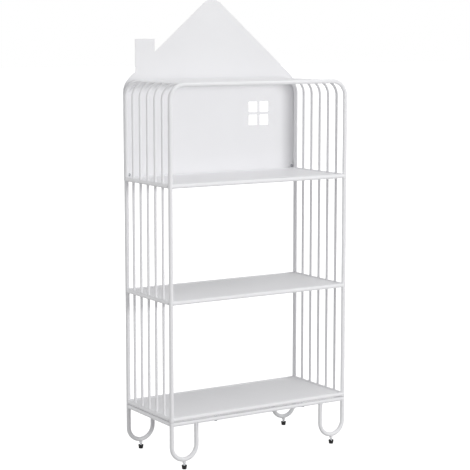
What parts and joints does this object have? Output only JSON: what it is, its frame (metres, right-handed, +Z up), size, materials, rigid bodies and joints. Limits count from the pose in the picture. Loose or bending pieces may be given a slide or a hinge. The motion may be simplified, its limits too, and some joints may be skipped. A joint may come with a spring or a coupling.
{
  "type": "kids shelf",
  "caption": "House-shaped metal shelf for a child's room, with wire sides, open shelves, a roof-shaped back panel and screw feet on looped legs.",
  "frame": {"origin": "on the floor, in the middle between the four posts", "axes": "+X along the shelves to the viewer's right, +Y from front to back, +Z up"},
  "size_m": [0.6, 0.2761, 1.3147],
  "materials": {
    "white_paint": "satin white powder coat on steel",
    "zinc_steel": "bright zinc plating",
    "bare_steel": "plain drawn steel",
    "black_nylon": "moulded black nylon"
  },
  "bodies": {
    "frame": {"front_arch": "white_paint", "rear_arch": "white_paint", "wire_arch_1": "white_paint", "wire_arch_2": "white_paint", "wire_arch_3": "white_paint", "wire_arch_4": "white_paint", "wire_arch_5": "white_paint", "base_front_rail": "white_paint", "base_rear_rail": "white_paint", "base_left_rail": "white_paint", "base_right_rail": "white_paint", "bottom_front_rail": "white_paint", "bottom_rear_rail": "white_paint", "bottom_left_rail": "white_paint", "bottom_right_rail": "white_paint", "middle_front_rail": "white_paint", "middle_rear_rail": "white_paint", "middle_left_rail": "white_paint", "middle_right_rail": "white_paint", "top_front_rail": "white_paint", "top_rear_rail": "white_paint", "top_left_rail": "white_paint", "top_right_rail": "white_paint", "bottom_shelf": "white_paint", "middle_shelf": "white_paint", "top_shelf": "white_paint", "back_panel": "white_paint", "left_panel_ear": "white_paint", "right_panel_ear": "white_paint", "panel_bolts": "zinc_steel", "panel_nuts": "zinc_steel", "panel_screws": "zinc_steel", "leg_pins": "bare_steel", "base_bolts": "zinc_steel", "base_inserts": "zinc_steel", "front_left_leg": "white_paint", "front_left_foot_boss": "white_paint", "front_right_leg": "white_paint", "front_right_foot_boss": "white_paint", "rear_left_leg": "white_paint", "rear_left_foot_boss": "white_paint", "rear_right_leg": "white_paint", "rear_right_foot_boss": "white_paint"},
    "front_left_foot": {"front_left_foot": "black_nylon"},
    "front_left_foot_screw": {"front_left_foot_screw": "zinc_steel"},
    "front_right_foot": {"front_right_foot": "black_nylon"},
    "front_right_foot_screw": {"front_right_foot_screw": "zinc_steel"},
    "rear_left_foot": {"rear_left_foot": "black_nylon"},
    "rear_left_foot_screw": {"rear_left_foot_screw": "zinc_steel"},
    "rear_right_foot": {"rear_right_foot": "black_nylon"},
    "rear_right_foot_screw": {"rear_right_foot_screw": "zinc_steel"}
  },
  "joints": [
    {"name": "front_left_foot_height", "type": "slide", "parent": "frame", "child": "front_left_foot", "axis": [0, 0, 1], "range_m": [-0.005, 0.005]},
    {"name": "front_left_screw_turn", "type": "hinge", "parent": "front_left_foot", "child": "front_left_foot_screw", "pos_m": [-0.25365, -0.12765, 0.01], "axis": [0, 0, 1], "range_deg": [-1800, 1800]},
    {"name": "front_right_foot_height", "type": "slide", "parent": "frame", "child": "front_right_foot", "axis": [0, 0, 1], "range_m": [-0.005, 0.005]},
    {"name": "front_right_screw_turn", "type": "hinge", "parent": "front_right_foot", "child": "front_right_foot_screw", "pos_m": [0.25365, -0.12765, 0.01], "axis": [0, 0, 1], "range_deg": [-1800, 1800]},
    {"name": "rear_left_foot_height", "type": "slide", "parent": "frame", "child": "rear_left_foot", "axis": [0, 0, 1], "range_m": [-0.005, 0.005]},
    {"name": "rear_left_screw_turn", "type": "hinge", "parent": "rear_left_foot", "child": "rear_left_foot_screw", "pos_m": [-0.25365, 0.12765, 0.01], "axis": [0, 0, 1], "range_deg": [-1800, 1800]},
    {"name": "rear_right_foot_height", "type": "slide", "parent": "frame", "child": "rear_right_foot", "axis": [0, 0, 1], "range_m": [-0.005, 0.005]},
    {"name": "rear_right_screw_turn", "type": "hinge", "parent": "rear_right_foot", "child": "rear_right_foot_screw", "pos_m": [0.25365, 0.12765, 0.01], "axis": [0, 0, 1], "range_deg": [-1800, 1800]}
  ],
  "couplings": [
    {"joint": "front_left_screw_turn", "follows": "front_left_foot_height", "rad_per_m": 6283.2},
    {"joint": "front_right_screw_turn", "follows": "front_right_foot_height", "rad_per_m": 6283.2},
    {"joint": "rear_left_screw_turn", "follows": "rear_left_foot_height", "rad_per_m": 6283.2},
    {"joint": "rear_right_screw_turn", "follows": "rear_right_foot_height", "rad_per_m": 6283.2}
  ]
}
